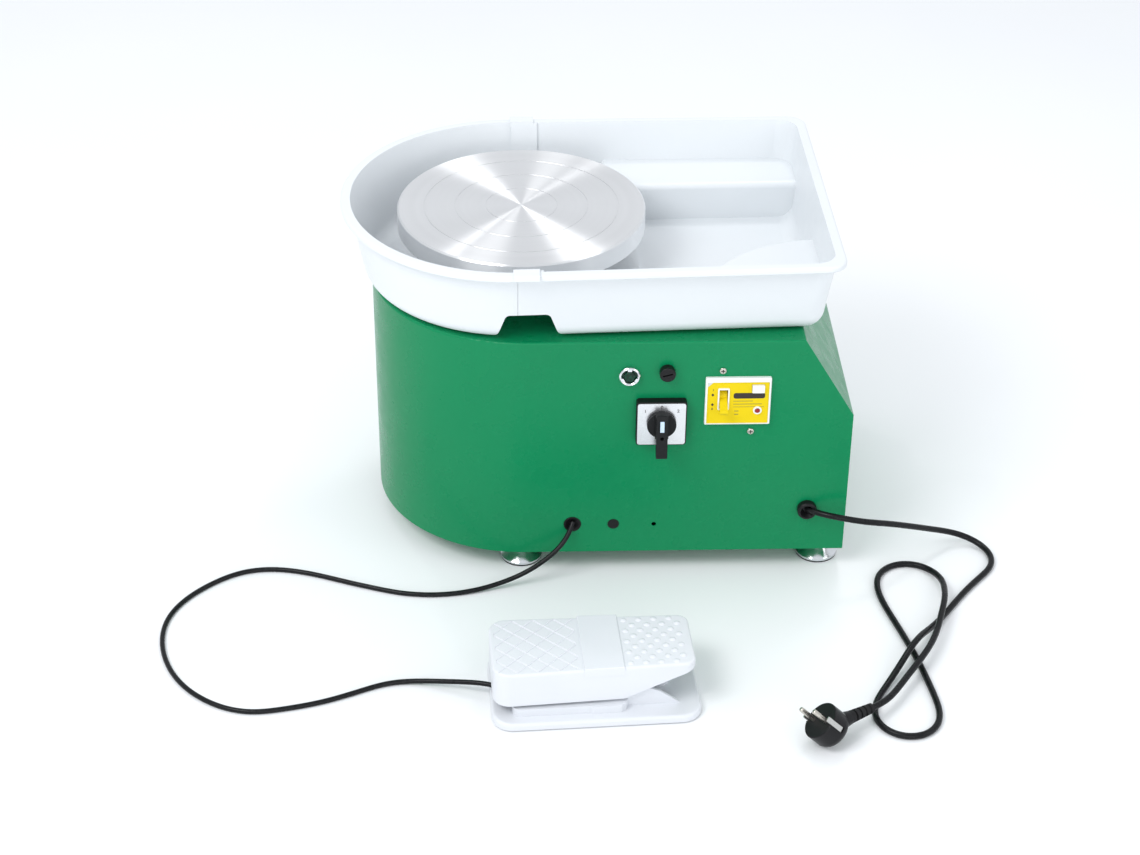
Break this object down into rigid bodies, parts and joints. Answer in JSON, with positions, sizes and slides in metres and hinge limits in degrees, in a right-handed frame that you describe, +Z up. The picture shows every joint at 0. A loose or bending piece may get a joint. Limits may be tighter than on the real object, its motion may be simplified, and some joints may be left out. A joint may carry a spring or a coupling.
{
  "type": "pottery wheel",
  "caption": "Tabletop potter's wheel: enamelled D-shaped case, turned aluminium head in a split splash pan, panel switch and breaker, foot pedal and mains lead.",
  "frame": {"origin": "middle of the footprint of the machine and its pedal, on the floor", "axes": "+Z up along the wheel's axis, +X towards the square end of the case, -Y out of the control panel towards the pedal"},
  "size_m": [0.8535, 0.6222, 0.361],
  "materials": {
    "green_case": "glossy green powder coat",
    "pan_white": "satin white moulding",
    "head_alu": "turned",
    "steel": "machined",
    "zinc": "zinc plated",
    "chrome_trim": "polished",
    "nickel": "nickel plated",
    "black_rubber": "moulded",
    "black_plastic": "moulded",
    "grey_plastic": "moulded",
    "white_plastic": "moulded",
    "yellow_plastic": "moulded",
    "red_plastic": "moulded",
    "marker_blue": "moulded",
    "legend": "brushed",
    "lens_green": "faceted",
    "fuse_glass": "clear",
    "board_green": "solder mask",
    "cast_alu": "cast",
    "pedal_white": "moulded",
    "cord_black": "satin jacket",
    "motor_paint": "satin"
  },
  "bodies": {
    "root": {"case_shell": "green_case", "base_plate": "green_case", "case_screws": "zinc", "foot_pads": "black_rubber", "feet": "chrome_trim", "foot_bolts": "zinc", "spindle_bearings": "steel", "bearing_housing": "cast_alu", "spindle_seal": "black_rubber", "housing_bolts": "zinc", "drive_belt": "black_rubber", "motor_body": "motor_paint", "motor_bracket": "zinc", "motor_screws": "zinc", "controller_board": "board_green", "board_heatsink": "cast_alu", "lamp_bezel": "chrome_trim", "lamp_lens": "lens_green", "fuse_holder": "black_plastic", "switch_base": "black_plastic", "switch_plate": "legend", "switch_body": "black_plastic", "breaker_body": "white_plastic", "breaker_frame": "white_plastic", "breaker_face": "yellow_plastic", "breaker_trims": "white_plastic", "breaker_screws": "nickel", "cord_bushing": "black_plastic", "hole_plug": "black_plastic", "cable_gland": "black_plastic", "pedal_base": "pedal_white", "pedal_cover": "pedal_white", "pedal_pads": "black_rubber", "pedal_spring": "steel", "sensor_board": "board_green", "plug_body": "black_plastic", "plug_pins": "nickel", "plug_earth_clips": "zinc", "plug_strain_relief": "black_rubber", "pedal_cord": "cord_black", "mains_cord": "cord_black"},
    "wheel": {"wheel_head": "head_alu", "hub_screws": "zinc", "spindle": "steel", "retaining_nut": "zinc", "driven_pulley": "cast_alu"},
    "motor_rotor": {"motor_shaft": "steel", "motor_pulley": "cast_alu"},
    "pan_left": {"pan_left": "pan_white"},
    "pan_right": {"pan_right": "pan_white"},
    "switch_knob": {"switch_knob": "grey_plastic", "knob_marker": "marker_blue"},
    "breaker_toggle": {"breaker_toggle": "yellow_plastic"},
    "test_key": {"test_key": "white_plastic"},
    "reset_button": {"reset_button": "red_plastic"},
    "fuse_cap": {"fuse_cap": "black_plastic", "fuse_cartridge": "fuse_glass"},
    "treadle": {"pedal_treadle": "pedal_white", "pedal_pin": "steel", "treadle_magnet": "steel"}
  },
  "joints": [
    {"name": "wheel_spin", "type": "hinge", "parent": "root", "child": "wheel", "pos_m": [-0.073, 0.116, 0.34], "axis": [0, 0, 1], "continuous": true},
    {"name": "motor_spin", "type": "hinge", "parent": "root", "child": "motor_rotor", "pos_m": [0.092, 0.116, 0.15], "axis": [0, 0, 1], "continuous": true},
    {"name": "pan_left_slide", "type": "slide", "parent": "root", "child": "pan_left", "axis": [-1, 0, 0], "range_m": [0, 0.18]},
    {"name": "pan_right_slide", "type": "slide", "parent": "root", "child": "pan_right", "axis": [1, 0, 0], "range_m": [0, 0.3]},
    {"name": "switch_turn", "type": "hinge", "parent": "root", "child": "switch_knob", "pos_m": [0.0625, -0.049, 0.187], "axis": [0, 1, 0], "range_deg": [-45, 45]},
    {"name": "breaker_flip", "type": "hinge", "parent": "root", "child": "breaker_toggle", "pos_m": [0.1234, -0.0305, 0.2112], "axis": [-1, 0, 0], "range_deg": [0, 60]},
    {"name": "test_press", "type": "slide", "parent": "root", "child": "test_key", "axis": [0, 1, 0], "range_m": [0, 0.002], "stiffness_N_per_m": 400, "springref_m": -0.001},
    {"name": "reset_press", "type": "slide", "parent": "root", "child": "reset_button", "axis": [0, 1, 0], "range_m": [0, 0.0015], "stiffness_N_per_m": 400, "springref_m": -0.001},
    {"name": "fuse_pull", "type": "slide", "parent": "root", "child": "fuse_cap", "axis": [0, -1, 0], "range_m": [0, 0.03]},
    {"name": "treadle_press", "type": "hinge", "parent": "root", "child": "treadle", "pos_m": [0.00298, -0.22875, 0.031], "axis": [-0.0576, 0.9983, 0], "range_deg": [0, 10], "stiffness_Nm_per_rad": 3, "springref_deg": -6.88, "deforming": ["pedal_spring"]}
  ],
  "couplings": [
    {"joint": "motor_spin", "follows": "wheel_spin", "ratio": 3.069}
  ]
}
